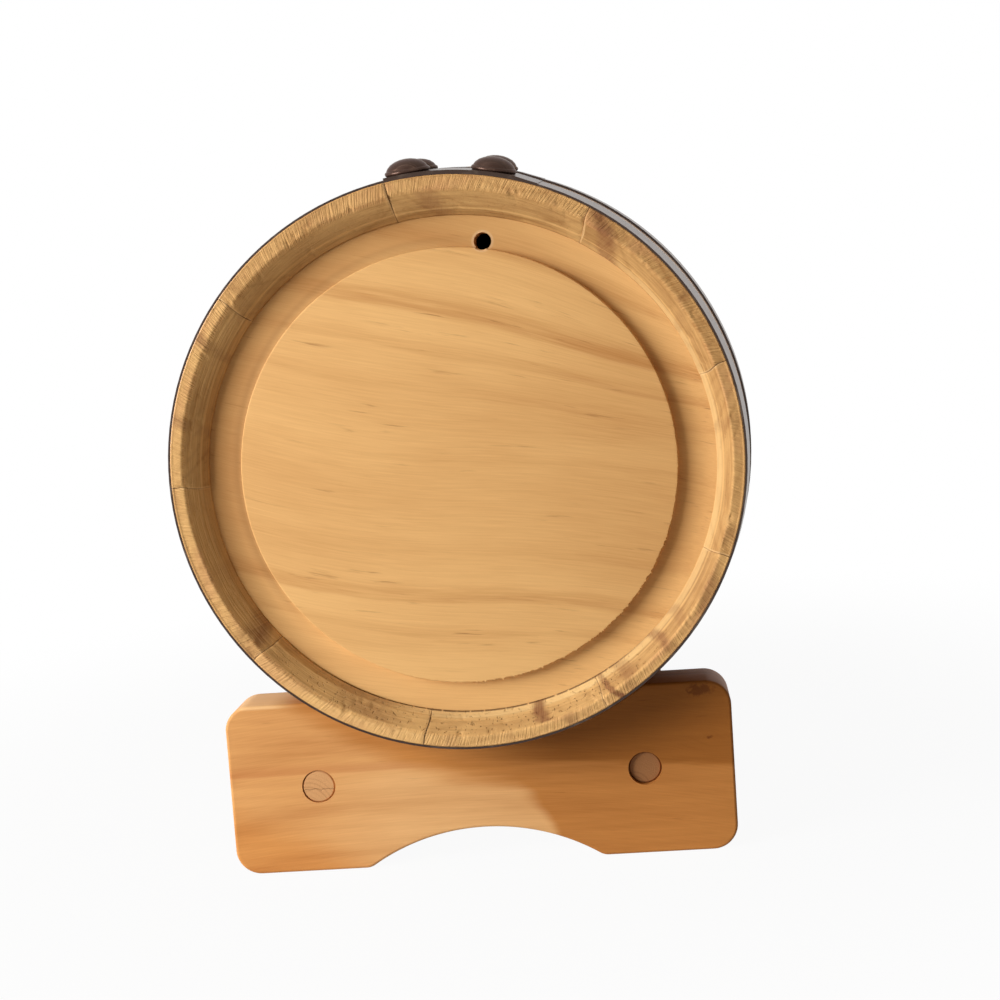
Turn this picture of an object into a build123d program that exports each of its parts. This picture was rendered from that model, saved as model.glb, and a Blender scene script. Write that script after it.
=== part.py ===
from build123d import *
from math import asin, cos, degrees, radians, sin, sqrt
import os

# A small coopered cask with a brass tap in its front head, lying in a two-board stand.
# Millimetres, +Z up. The tap points along -Y, and the origin is on the ground under the
# middle of the whole object. Left and right are as seen from the front. Clock angles on
# the cask are in degrees, clockwise from the top as seen from behind it, and "along" is
# the distance from the bilge towards the rear.

os.makedirs("parts", exist_ok=True)

# ---------------------------------------------------------------- driving dimensions

# cask
cask_length = 192.0
rim_radius = 81.8  # outside of the staves at the two ends
bilge_radius = 88.4  # outside of the staves at their widest
stave_thickness = 9.6
stave_widths = (41.4, 40.3, 40.1, 39.1, 39.3, 38.1, 39.8, 40.4, 41.5)  # degrees round the rim
first_joint = -10.3  # clock angle at which the bung stave begins

# chime: the flat end grain, the bevel inside it, and the howel down to the head
end_grain_width = 3.3
bevel_drop = 3.9
bevel_depth = 4.1
howel_drop = 1.4
croze_depth = 6.4  # from the rim to the outer cheek of the croze
croze_width = 5.0
croze_cut = 3.4

# heads
head_thickness = 10.4
head_inset = 4.6  # from the rim to the raised field
head_slack = 0.2
field_radius = 62.9
field_drop = 1.0  # the field is turned this far below the cask's axis
field_step = 2.4
cove_extra = 0.6  # how much deeper the cove is in its middle
inner_bevel_radius = 68.0
vent_radius = 2.5
vent_clock = 10.0
vent_distance = 64.0  # from the cask's axis

# hoops and their domed rivets
hoop_width = 16.0
hoop_sheet = 0.6
quarter_hoop_depth = 34.3  # from the rim to the near edge of the quarter hoop
head_lap_clock = 2.35
quarter_lap_clock = 1.05
lap_half_angle = 12.6
lap_ramp_angle = 5.0
lap_ramp_foot = 0.15
rivet_spacing = 24.2  # between the middles of a pair, round the hoop
rivet_radius = 6.5
rivet_height = 4.3
rivet_lip = 0.65
pin_radius = 1.0
pin_slack = 0.05

# bung
bung_top_radius = 11.0
bung_bottom_radius = 9.5
bung_length = 17.0
bung_proud = 3.4
bung_bevel = 1.2
seat_clearance = 0.08

# stand
axis_height = 123.0
board_width = 153.0
front_board_width = 114.0  # narrower, so that it stays behind the cask in a view from the rear
board_height = 52.2
board_thickness = 16.3
board_gap = 1.4  # between the head hoop's edge and the board
board_corner = 7.6
board_edge = 0.8
board_shift = 1.6  # the boards stand this far to the right of the cask's middle plane
saddle_clearance = 0.3
saddle_tip = 1.2
arch_chord = 71.0
arch_rise = 10.8
arch_fillet = 5.0
dowel_radius = 5.0
dowel_spacing = 99.0
dowel_height = 26.4
dowel_chamfer = 0.5
dowel_sinks = {"left_dowel": 1.3, "right_dowel": 0.2}  # below the rear board's face

# tap body: distances forward from the front head's field, heights from the tap's axis
tap_drop = 52.0  # below the cask's axis
shank_radius = 6.0
shank_length = 20.5
shank_slack = 0.1
bore_radius = 3.5
gasket_thickness = 1.5
flange_radius = 11.0
flange_thickness = 2.2
barrel_radius = 6.6
bead_start = 8.0
bead = 1.3
boss_forward = 25.0
boss_half_height = 13.0
boss_waist_radius = 8.3
boss_bottom_radius = 9.2
boss_top_radius = 10.4
boss_ring = 2.4
elbow_start = 34.0
elbow_radius = 9.0
spout_radius = 6.0
spout_drop = 26.0
lip_height = 3.0
lip_radius = 7.2
edge_round = 0.5

# tap key: the tapered plug, its handle, and what holds it down
plug_top_radius = 6.5
plug_bottom_radius = 5.5
plug_clearance = 0.07
collar_radius = 9.8
collar_neck = 6.9
collar_thickness = 3.0
collar_gap = 0.3
key_turn = 90.0
stop_radius = 1.0
stop_distance = 8.3
stop_sunk = 4.0
stop_play = 1.5  # degrees between the stop pin and each end of the collar's notch
stem_square = 5.6
stem_stud_radius = 2.0
stem_stud_height = 2.6
hub_radius = 6.2
hub_height = 7.6
handle_root = 3.4
handle_neck = 2.3
handle_neck_reach = 13.0  # from the plug's axis to the narrowest place of the bar
handle_reach = 20.6
handle_end_radius = 3.8
handle_end_width = 2.6
cap_nut_radius = 4.2
cap_nut_crown = 2.4
cap_nut_height = 4.6
tail_radius = 3.0
tail_length = 7.6
washer_radius = 7.2
washer_thickness = 1.0
washer_gap = 0.2
plug_nut_flats = 10.0
plug_nut_height = 4.0
lock_nut_flats = 19.0
lock_nut_height = 6.0

# ---------------------------------------------------------------- worked-out sizes

half_length = cask_length / 2
tap_front = elbow_start + elbow_radius + lip_radius
cask_middle = (tap_front - head_inset) / 2  # the origin is halfway from spout to rear rim
bilge_rise = bilge_radius - rim_radius
stave_arc = (half_length**2 + bilge_rise**2) / (2 * bilge_rise)
croze_outer = half_length - croze_depth
croze_inner = croze_outer - croze_width
wall_radius = rim_radius - end_grain_width - bevel_drop - howel_drop
croze_radius = wall_radius + croze_cut
head_face = half_length - head_inset
head_back = head_face - head_thickness
centre = Vector(0, cask_middle, axis_height)
cask_axis = Axis(centre, (0, -1, 0))


def outside(along):
    """Radius of the staves' outside at a place along the cask."""
    return bilge_radius - stave_arc + sqrt(stave_arc**2 - along**2)


def outwards(clock):
    """Direction straight out of the cask at a clock angle."""
    return Vector(-sin(radians(clock)), 0, cos(radians(clock)))


def section(clock):
    """Plane through the cask's axis: x runs along the cask, y outwards."""
    return Plane(centre, x_dir=(0, 1, 0), z_dir=(cos(radians(clock)), 0, sin(radians(clock))))


def across(along):
    """Plane square to the cask's axis: x to the right, y up from the axis, facing the front."""
    return Plane(centre + Vector(0, along, 0), x_dir=(1, 0, 0), z_dir=(0, -1, 0))


def surface(clock, along, lift):
    """Plane touching the cask's skin, or lifted off it, that faces square to the skin."""
    lean = asin(along / stave_arc)
    out = outwards(clock)
    facing = out * cos(lean) + Vector(0, sin(lean), 0)
    place = centre + Vector(0, along, 0) + out * outside(along) + facing * lift
    return Plane(place, x_dir=Vector(0, cos(lean), 0) - out * sin(lean), z_dir=facing)


def save(part, name):
    """Label a finished piece and write it."""
    part.label = name
    export_step(part, f"parts/{name}.step")


# where each hoop lies: the middle of its width, and the clock angle of its lap
hoops = {}
for end, way in (("rear", 1), ("front", -1)):
    hoops[f"{end}_head_hoop"] = (way * (half_length - hoop_width / 2), head_lap_clock)
    middle = half_length - quarter_hoop_depth - hoop_width / 2
    hoops[f"{end}_quarter_hoop"] = (way * middle, quarter_lap_clock)

# ---------------------------------------------------------------- staves

# Each stave is a wedge of the same bulged shell. The croze is the groove near each end
# that holds the head, and the bevel outside it is the chime.
inner_end = (croze_inner, outside(croze_inner) - stave_thickness)
bung_top = bilge_radius + bung_proud
bung_bottom = bung_top - bung_length
clock = first_joint
for number, width in enumerate(stave_widths, 1):
    with BuildPart() as stave:
        with BuildSketch(section(clock)):
            with BuildLine():
                TangentArc((0, bilge_radius), (half_length, rim_radius), tangent=(1, 0))
                Polyline(
                    (half_length, rim_radius),
                    (half_length, rim_radius - end_grain_width),
                    (half_length - bevel_depth, wall_radius + howel_drop),
                    (croze_outer, wall_radius),
                    (croze_outer, croze_radius),
                    (croze_inner, croze_radius),
                    inner_end,
                )
                TangentArc((0, bilge_radius - stave_thickness), inner_end, tangent=(1, 0))
                mirror(about=Plane.YZ)
            make_face()
        revolve(axis=cask_axis, revolution_arc=width)

        if number == 1:
            # the tapered bung hole
            with BuildSketch(across(0)):
                Polygon(
                    (0, bung_bottom),
                    (bung_bottom_radius + seat_clearance, bung_bottom),
                    (bung_top_radius + seat_clearance, bung_top),
                    (0, bung_top),
                    align=None,
                )
            revolve(axis=Axis(centre, (0, 0, 1)), mode=Mode.SUBTRACT)
    save(stave.part, "bung_stave" if number == 1 else f"stave_{number}")
    clock += width

# ---------------------------------------------------------------- heads

# Each head is one board, turned with a tongue for the croze and a bevel inside. On its
# outer face a cove is cut round a raised field, a little below the cask's axis.
head_edge = wall_radius - head_slack
tongue_radius = croze_radius - head_slack
cove_floor = head_face - field_step
cove_rim = wall_radius + field_drop
field_centre = centre - Vector(0, 0, field_drop)
for name, way in (("rear_head", 1), ("front_head", -1)):
    with BuildPart() as head:
        with BuildSketch(Plane(centre, x_dir=(0, way, 0), z_dir=(way, 0, 0))):
            with BuildLine():
                Polyline(
                    (head_back, 0),
                    (head_back, inner_bevel_radius),
                    (croze_inner, head_edge),
                    (croze_inner, tongue_radius),
                    (croze_outer, tongue_radius),
                    (croze_outer, head_edge),
                    (head_face, head_edge),
                    (head_face, 0),
                    close=True,
                )
            make_face()
        revolve(axis=cask_axis)

        with BuildSketch(Plane(field_centre, x_dir=(0, way, 0), z_dir=(way, 0, 0))):
            with BuildLine():
                ThreePointArc(
                    (cove_floor, field_radius),
                    (cove_floor - cove_extra, (field_radius + wall_radius) / 2),
                    (croze_outer, cove_rim),
                )
                Polyline(
                    (croze_outer, cove_rim),
                    (half_length, cove_rim),
                    (half_length, field_radius),
                    (cove_floor, field_radius),
                )
            make_face()
        revolve(axis=Axis(field_centre, (0, 1, 0)), mode=Mode.SUBTRACT)

        # the vent hole behind, and the hole for the tap's shank in front
        rear_side = head_face if way > 0 else -head_back
        with BuildSketch(across(rear_side)):
            if way > 0:
                vent = outwards(vent_clock) * vent_distance
                with Locations((vent.X, vent.Z)):
                    Circle(vent_radius)
            else:
                with Locations((0, -tap_drop)):
                    Circle(shank_radius + shank_slack)
        extrude(amount=head_thickness, mode=Mode.SUBTRACT)
    save(head.part, name)

# ---------------------------------------------------------------- hoops and rivets


def strip(along, lift):
    """Straight cut through a hoop's sheet, which bears on the bulge at the middle of its width."""
    ends = (along - hoop_width / 2, along + hoop_width / 2)
    bulge = outside(along) - (outside(ends[0]) + outside(ends[1])) / 2
    inner = [(x, outside(x) + bulge + lift) for x in ends]
    outer = [(x, outside(x) + bulge + lift + hoop_sheet) for x in ends]
    with BuildSketch() as cut:
        Polygon(*inner, *reversed(outer), align=None)
    return cut.sketch


# A hoop is a strip bent to the cask's taper. Its tail climbs onto its own start at the
# top and is held there by two domed rivets, clenched flush with the inside of the hoop.
for name, (along, lap_clock) in hoops.items():
    flat_strip = strip(along, 0)
    raised_strip = strip(along, hoop_sheet)
    foot_strip = strip(along, lap_ramp_foot)
    lap_end = lap_clock + lap_half_angle
    rivet_half_angle = degrees(rivet_spacing / 2 / outside(along))
    rivet_clocks = (lap_clock - rivet_half_angle, lap_clock + rivet_half_angle)
    with BuildPart() as hoop:
        with BuildSketch(section(0)):
            add(flat_strip)
        revolve(axis=cask_axis)
        with BuildSketch(section(lap_clock - lap_half_angle)):
            add(raised_strip)
        revolve(axis=cask_axis, revolution_arc=2 * lap_half_angle)
        with BuildSketch(section(lap_end)):
            add(raised_strip)
        with BuildSketch(section(lap_end + lap_ramp_angle)):
            add(foot_strip)
        loft(ruled=True)
        for rivet_clock in rivet_clocks:
            with BuildSketch(surface(rivet_clock, along, -hoop_sheet)):
                Circle(pin_radius)
            extrude(amount=4 * hoop_sheet, mode=Mode.SUBTRACT)
    save(hoop.part, name)

    pin_end = -2 * hoop_sheet + pin_slack
    with BuildPart() as rivets:
        for rivet_clock in rivet_clocks:
            seat = surface(rivet_clock, along, 2 * hoop_sheet)
            with BuildSketch(Plane(seat.origin, x_dir=seat.x_dir, z_dir=-seat.y_dir)):
                with BuildLine():
                    shoulder = (rivet_radius - rivet_lip, 2 * rivet_lip)
                    TangentArc((0, rivet_height), shoulder, tangent=(1, 0))
                    Polyline(
                        shoulder,
                        (rivet_radius, rivet_lip),
                        (rivet_radius - rivet_lip, 0),
                        (pin_radius - pin_slack, 0),
                        (pin_radius - pin_slack, pin_end),
                        (0, pin_end),
                        (0, rivet_height),
                    )
                make_face()
            revolve(axis=Axis(seat.origin, seat.z_dir))
    save(rivets.part, f"{name}_rivets")

# ---------------------------------------------------------------- bung

with BuildPart() as bung:
    with BuildSketch(across(0)):
        Polygon(
            (0, bung_bottom),
            (bung_bottom_radius, bung_bottom),
            (bung_top_radius, bung_top),
            (0, bung_top),
            align=None,
        )
    revolve(axis=Axis(centre, (0, 0, 1)))
    chamfer(bung.edges().filter_by(GeomType.CIRCLE), bung_bevel)
save(bung.part, "bung")

# ---------------------------------------------------------------- tap body

tap_origin = centre + Vector(0, -head_face, -tap_drop)
tap_side = Plane(tap_origin, x_dir=(0, -1, 0), z_dir=(-1, 0, 0))  # x forward, y up
tap_axis = Axis(tap_origin, (0, -1, 0))
plug_origin = tap_side.from_local_coords((boss_forward, 0))
plug_side = Plane(plug_origin, x_dir=(0, -1, 0), z_dir=(-1, 0, 0))
plug_axis = Axis(plug_origin, (0, 0, 1))
spout_forward = elbow_start + elbow_radius
spout_side = Plane(
    tap_side.from_local_coords((spout_forward, 0)), x_dir=(0, -1, 0), z_dir=(-1, 0, 0)
)
plug_taper = (plug_top_radius - plug_bottom_radius) / (2 * boss_half_height)


def level(height):
    """Flat plane at a height over the tap's axis, centred on the plug."""
    return Plane(plug_origin + Vector(0, 0, height))


def water_line(start):
    """The way through the tap, from a distance along its axis down to the spout's mouth."""
    with BuildLine(tap_side) as way_through:
        Line((start, 0), (elbow_start, 0))
        JernArc(start=(elbow_start, 0), tangent=(1, 0), radius=elbow_radius, arc_size=-90)
        Line((spout_forward, -elbow_radius), (spout_forward, -spout_drop))
    return way_through.line


outer_way = water_line(boss_forward)
inner_way = water_line(-shank_length)
flange_front = gasket_thickness + flange_thickness
ring_foot = boss_half_height - boss_ring
with BuildPart() as tap_body:
    # shank, flange and barrel are turned about the tap's axis
    with BuildSketch(tap_side):
        with BuildLine():
            Polyline(
                (flange_front, flange_radius - edge_round),
                (flange_front - edge_round, flange_radius),
                (gasket_thickness, flange_radius),
                (gasket_thickness, shank_radius),
                (edge_round - shank_length, shank_radius),
                (-shank_length, shank_radius - edge_round),
                (-shank_length, 0),
                (elbow_start, 0),
                (elbow_start, barrel_radius),
                (bead_start + 2 * bead, barrel_radius),
                (bead_start + bead, barrel_radius + bead),
                (bead_start, barrel_radius),
                (flange_front, barrel_radius + bead),
                close=True,
            )
        make_face()
    revolve(axis=tap_axis)

    # the elbow and spout, with a lip at the mouth
    with BuildSketch(Plane(outer_way @ 0, z_dir=outer_way % 0)):
        Circle(spout_radius)
    sweep(path=outer_way)
    with BuildSketch(spout_side):
        with BuildLine():
            Polyline(
                (0, lip_height - spout_drop),
                (spout_radius, lip_height - spout_drop),
                (lip_radius, lip_height - spout_drop - bead),
                (lip_radius, edge_round - spout_drop),
                (lip_radius - edge_round, -spout_drop),
                (0, -spout_drop),
                close=True,
            )
        make_face()
    revolve(axis=Axis(spout_side.origin, (0, 0, 1)))

    # the upright boss that holds the plug, waisted between two rings
    with BuildSketch(plug_side):
        with BuildLine():
            Polyline(
                (boss_waist_radius, -ring_foot),
                (boss_bottom_radius, -ring_foot - edge_round),
                (boss_bottom_radius, edge_round - boss_half_height),
                (boss_bottom_radius - edge_round, -boss_half_height),
                (0, -boss_half_height),
                (0, boss_half_height),
                (boss_top_radius - edge_round, boss_half_height),
                (boss_top_radius, boss_half_height - edge_round),
                (boss_top_radius, ring_foot + edge_round),
                (boss_waist_radius, ring_foot),
                close=True,
            )
        make_face()
    revolve(axis=plug_axis)

    # the waterway, the plug's tapered seat, and the hole for the stop pin
    with BuildSketch(Plane(inner_way @ 0, z_dir=inner_way % 0)):
        Circle(bore_radius)
    sweep(path=inner_way, mode=Mode.SUBTRACT)
    with BuildSketch(plug_side):
        Polygon(
            (0, -boss_half_height),
            (plug_bottom_radius, -boss_half_height),
            (plug_top_radius, boss_half_height),
            (0, boss_half_height),
            align=None,
        )
    revolve(axis=plug_axis, mode=Mode.SUBTRACT)
    with BuildSketch(level(boss_half_height)):
        with Locations((stop_distance, 0)):
            Circle(stop_radius)
    extrude(amount=-stop_sunk, mode=Mode.SUBTRACT)
save(tap_body.part, "tap_body")

with BuildPart() as stop_pin:
    with BuildSketch(level(boss_half_height - stop_sunk)):
        with Locations((stop_distance, 0)):
            Circle(stop_radius)
    extrude(amount=stop_sunk + collar_gap + collar_thickness - edge_round)
save(stop_pin.part, "stop_pin")

# rings on the shank: a gasket each side of the head, and the lock nut inside the cask
for name, back in (("outer_gasket", 0), ("inner_gasket", -head_thickness - gasket_thickness)):
    with BuildPart() as gasket:
        with BuildSketch(Plane(tap_side.from_local_coords((back, 0)), z_dir=(0, -1, 0))):
            Circle(flange_radius)
            Circle(shank_radius, mode=Mode.SUBTRACT)
        extrude(amount=gasket_thickness)
    save(gasket.part, name)

nut_back = -head_thickness - gasket_thickness - lock_nut_height
with BuildPart() as lock_nut:
    with BuildSketch(Plane(tap_side.from_local_coords((nut_back, 0)), z_dir=(0, -1, 0))):
        RegularPolygon(lock_nut_flats / 2, 6, major_radius=False)
        Circle(shank_radius, mode=Mode.SUBTRACT)
    extrude(amount=lock_nut_height)
save(lock_nut.part, "lock_nut")

# ---------------------------------------------------------------- tap key

# The plug's cross hole lies across the tap at rest, which shuts it. A notch in its collar
# runs against the stop pin at both ends of a quarter turn.
collar_bottom = boss_half_height + collar_gap
collar_top = collar_bottom + collar_thickness
hub_top = collar_top + hub_height
stop_half = degrees(asin(stop_radius / stop_distance)) + stop_play
notch_start = -key_turn - stop_half
notch_end = stop_half
with BuildPart() as tap_plug:
    with BuildSketch(plug_side):
        Polygon(
            (0, -boss_half_height),
            (plug_bottom_radius - plug_clearance, -boss_half_height),
            (plug_top_radius - plug_clearance, boss_half_height),
            (plug_top_radius - plug_clearance, collar_bottom),
            (collar_radius, collar_bottom),
            (collar_radius, collar_top - edge_round),
            (collar_radius - edge_round, collar_top),
            (0, collar_top),
            align=None,
        )
    revolve(axis=plug_axis)
    with BuildSketch(level(collar_bottom)):
        far = 2 * collar_radius
        corners = [notch_start + (notch_end - notch_start) * share for share in (0, 0.5, 1)]
        Polygon(
            (0, 0),
            *[(far * cos(radians(turn)), far * sin(radians(turn))) for turn in corners],
            align=None,
        )
        Circle(collar_neck, mode=Mode.SUBTRACT)
    extrude(amount=collar_thickness, mode=Mode.SUBTRACT)
    with BuildSketch(Plane(plug_origin, z_dir=(1, 0, 0))):
        Circle(bore_radius)
    extrude(amount=plug_top_radius, both=True, mode=Mode.SUBTRACT)
    with BuildSketch(level(collar_top)):
        Rectangle(stem_square, stem_square)
    extrude(amount=hub_height)
    with BuildSketch(level(hub_top)):
        Circle(stem_stud_radius)
    extrude(amount=stem_stud_height)
    with BuildSketch(level(-boss_half_height)):
        Circle(tail_radius)
    extrude(amount=-tail_length)
save(tap_plug.part, "tap_plug")

# a turned T handle: a hub over the plug's square, and a waisted bar with flared ends
bar_height = collar_top + hub_height / 2
bar_side = Plane(plug_origin + Vector(0, 0, bar_height), x_dir=(1, 0, 0), z_dir=(0, -1, 0))
flare_top = handle_reach - handle_end_width
with BuildPart() as tap_handle:
    with BuildSketch(bar_side):
        with BuildLine():
            Polyline(
                (0, handle_root),
                (handle_neck_reach, handle_neck),
                (flare_top, handle_end_radius),
                (handle_reach - edge_round, handle_end_radius),
                (handle_reach, handle_end_radius - edge_round),
                (handle_reach, 0),
                (0, 0),
                close=True,
            )
        make_face()
        mirror(about=Plane.YZ)
    revolve(axis=Axis(bar_side.origin, (1, 0, 0)))
    with BuildSketch(level(collar_top)):
        Circle(hub_radius)
    extrude(amount=hub_height)
    chamfer(tap_handle.faces().filter_by(Axis.Z).edges().filter_by(GeomType.CIRCLE), edge_round)
    with BuildSketch(level(collar_top)):
        Rectangle(stem_square, stem_square)
    extrude(amount=hub_height, mode=Mode.SUBTRACT)
save(tap_handle.part, "tap_handle")

with BuildPart() as cap_nut:
    with BuildSketch(level(hub_top)):
        Circle(cap_nut_radius)
    extrude(amount=cap_nut_height)
    crown = cap_nut.edges().filter_by(GeomType.CIRCLE).group_by(Axis.Z)[-1]
    chamfer(crown, cap_nut_crown, cap_nut_radius - cap_nut_crown)
    with BuildSketch(level(hub_top)):
        Circle(stem_stud_radius)
    extrude(amount=stem_stud_height, mode=Mode.SUBTRACT)
save(cap_nut.part, "cap_nut")

# the washer and nut that draw the plug down into its seat
washer_bottom = -boss_half_height - washer_gap - washer_thickness
with BuildPart() as plug_washer:
    with BuildSketch(level(washer_bottom)):
        Circle(washer_radius)
        Circle(tail_radius, mode=Mode.SUBTRACT)
    extrude(amount=washer_thickness)
save(plug_washer.part, "plug_washer")

with BuildPart() as plug_nut:
    with BuildSketch(level(washer_bottom)):
        RegularPolygon(plug_nut_flats / 2, 6, major_radius=False)
        Circle(tail_radius, mode=Mode.SUBTRACT)
    extrude(amount=-plug_nut_height)
save(plug_nut.part, "plug_nut")

# ---------------------------------------------------------------- stand

# Two boards stand between the head hoops and the quarter hoops, so the cask bears on bare
# staves. Two dowels run through both boards.
board_outer = half_length - hoop_width - board_gap
board_inner = board_outer - board_thickness
saddle_radius = outside(board_inner) + saddle_clearance
arch_radius = ((arch_chord / 2) ** 2 + arch_rise**2) / (2 * arch_rise)
dowel_places = {
    "left_dowel": (board_shift - dowel_spacing / 2, dowel_height - axis_height),
    "right_dowel": (board_shift + dowel_spacing / 2, dowel_height - axis_height),
}
for name, rear_face, width in (
    ("rear_board", board_outer, board_width),
    ("front_board", -board_inner, front_board_width),
):
    with BuildPart() as board:
        with BuildSketch(across(rear_face)) as outline:
            with Locations((board_shift, board_height / 2 - axis_height)):
                RectangleRounded(width, board_height, board_corner)
            with Locations((board_shift, arch_rise - arch_radius - axis_height)):
                Circle(arch_radius, mode=Mode.SUBTRACT)
            Circle(saddle_radius, mode=Mode.SUBTRACT)
            corners = outline.vertices().group_by(Axis.Y)
            fillet(corners[0].sort_by(Axis.X)[1:3], arch_fillet)
            fillet(corners[-1].sort_by(Axis.X)[1:3], saddle_tip)
        extrude(amount=board_thickness)
        chamfer(board.faces().filter_by(Axis.Y).edges(), board_edge)
        with BuildSketch(across(rear_face)):
            with Locations(*dowel_places.values()):
                Circle(dowel_radius)
        extrude(amount=board_thickness, mode=Mode.SUBTRACT)
    save(board.part, name)

for name, place in dowel_places.items():
    rear_end = board_outer - dowel_sinks[name]
    with BuildPart() as dowel:
        with BuildSketch(across(rear_end)):
            with Locations(place):
                Circle(dowel_radius)
        extrude(amount=rear_end + board_outer)
        chamfer(dowel.edges().filter_by(GeomType.CIRCLE), dowel_chamfer)
    save(dowel.part, name)
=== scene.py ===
# %% [markdown]
# # A small coopered cask on its stand, seen from behind
#
# The construction comes ready-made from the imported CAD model: every node is in metres, in one
# shared frame, with +Z up and the tap pointing along -Y. This lesson gives those pieces the
# look of the real thing. Where the CAD shape is already right, the node only gets a finish.
# Where wood is torn, chipped or rounded by hand, a new mesh stands in for the node.

# %% Load the frame
import random
from math import acos, asin, atan2, cos, degrees, dist, pi, radians, sin, sqrt, tan

import bmesh
import bpy
from mathutils import Matrix, Vector, noise


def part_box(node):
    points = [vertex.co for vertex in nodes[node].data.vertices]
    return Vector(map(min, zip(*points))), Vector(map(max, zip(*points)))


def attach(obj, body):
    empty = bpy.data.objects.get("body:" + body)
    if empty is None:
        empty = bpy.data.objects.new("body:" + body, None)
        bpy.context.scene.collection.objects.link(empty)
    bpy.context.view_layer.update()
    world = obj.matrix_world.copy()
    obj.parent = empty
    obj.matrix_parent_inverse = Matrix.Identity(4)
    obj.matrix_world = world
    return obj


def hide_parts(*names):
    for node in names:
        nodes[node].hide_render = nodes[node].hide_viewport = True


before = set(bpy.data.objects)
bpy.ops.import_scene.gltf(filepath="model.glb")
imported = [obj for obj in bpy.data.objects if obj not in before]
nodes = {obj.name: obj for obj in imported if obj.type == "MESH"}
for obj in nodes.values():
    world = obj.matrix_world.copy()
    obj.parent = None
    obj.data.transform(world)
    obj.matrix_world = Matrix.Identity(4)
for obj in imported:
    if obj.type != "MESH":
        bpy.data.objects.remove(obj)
scene = bpy.context.scene
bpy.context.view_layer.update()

# %% [markdown]
# ## Measures
#
# The frame already knows where everything is, so the cask's middle, its length and the height
# of its axis are read from the boxes of the nodes. Only the small steps of the turned chime
# and head are repeated here as named values.

# %% Measures
MM = 0.001


def span(node, axis):
    """Lowest and highest place of a node along one axis."""
    low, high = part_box(node)
    return low[axis], high[axis]


front_end, rear_end = span("stave_5", 1)
half_length = (rear_end - front_end) / 2
cask_middle = (rear_end + front_end) / 2
axis_height = sum(span("rear_head", 2)) / 2
centre = Vector((0, cask_middle, axis_height))

rim_radius = 81.8 * MM
bilge_radius = 88.4 * MM
stave_thickness = 9.6 * MM
end_grain_width = 3.3 * MM
bevel_drop = 3.9 * MM
bevel_depth = 4.1 * MM
howel_drop = 1.4 * MM
croze_outer = half_length - 6.4 * MM
croze_inner = croze_outer - 5 * MM
wall_radius = rim_radius - end_grain_width - bevel_drop - howel_drop
croze_radius = wall_radius + 3.4 * MM
# degrees round the cask, as on a clock that is seen from behind
stave_widths = (41.4, 41, 40, 39.9, 39, 39.1, 38.9, 39.9, 40.8)
first_joint = -10.3
print("axis at", round(axis_height, 4), "half length", round(half_length, 4))


def outside(along):
    """Radius of the staves' outside at a distance along the cask from its middle."""
    rise = bilge_radius - rim_radius
    arc = (half_length**2 + rise**2) / (2 * rise)
    return bilge_radius - arc + sqrt(arc**2 - along**2)


def outwards(clock):
    """Direction straight out of the cask at a clock angle, seen from behind."""
    return Vector((-sin(radians(clock)), 0, cos(radians(clock))))


# %% [markdown]
# ## Camera
#
# The view is from behind and a little above the axis. The direction comes first, from a small
# turn and a tilt down. The sideways and upward directions follow from it, and are then rolled
# together, because the camera is held slightly askew. Those three make the camera's matrix.

# %% Camera


def placed(name, data):
    """A new object in the scene, from its mesh, curve, lamp or camera."""
    piece = bpy.data.objects.new(name, data)
    scene.collection.objects.link(piece)
    return piece


camera_place = Vector((-51.2, 536.3, 166)) * MM
camera_turn = radians(-1.42)
camera_tilt = radians(-5.64)
camera_roll = radians(-3.66)

camera = placed("camera", bpy.data.cameras.new("camera"))
scene.camera = camera
camera.data.lens = 53.36
camera.data.shift_x = -0.1
camera.data.shift_y = -0.0488
camera.data.clip_start = 0.01
level = Vector((-sin(camera_turn), -cos(camera_turn), 0))
forward = level * cos(camera_tilt) + Vector((0, 0, sin(camera_tilt)))
sideways = Vector((-cos(camera_turn), sin(camera_turn), 0))
upward = sideways.cross(forward)
rolled_side = sideways * cos(camera_roll) + upward * sin(camera_roll)
rolled_up = upward * cos(camera_roll) - sideways * sin(camera_roll)
axes = Matrix((rolled_side, rolled_up, -forward)).transposed()
camera.matrix_world = Matrix.Translation(camera_place) @ axes.to_4x4()

# %% [markdown]
# ## Light
#
# One broad window of light stands to the left of the view, so the left wall of the rim falls
# into shade and the right wall is lit. A weak lamp above softens the tops. The world, which
# comes last in this lesson, fills the shadows.

# %% Light
scene.view_settings.view_transform = "Standard"


def area_light(name, place, target, size, power):
    """A square lamp at a place, turned towards a target."""
    lamp = bpy.data.lights.new(name, "AREA")
    lamp.size = size
    lamp.energy = power
    holder = placed(name, lamp)
    holder.location = place
    holder.rotation_euler = (target - place).to_track_quat("-Z", "Y").to_euler()


window_target = centre + Vector((0, 0.09, 0))
area_light("window", Vector((0.76, 0.58, 0.36)), window_target, size=0.5, power=11.8)
area_light("ceiling", Vector((0.3, 0.35, 0.95)), centre, size=0.6, power=0.6)

# %% [markdown]
# ## Writing node maths as Python
#
# Materials and Geometry Nodes are easier to read as formulas than as wires. `Value` wraps an
# output socket, and its operators add Math nodes. `Tree` holds a node tree: its `node` method
# makes any other node from a type, its settings and its sockets.

# %% Node maths


def link(tree, target, value):
    """Set a socket from a plain value, or link it."""
    if isinstance(value, Value):
        tree.links.new(value.socket, target)
    else:
        target.default_value = value


def operator(operation, swapped=False):
    """A method of Value that adds one Math node. swapped puts the value itself last."""

    def apply(self, *others):
        return self.maths(operation, *(*others, self) if swapped else (self, *others))

    return apply


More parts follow.
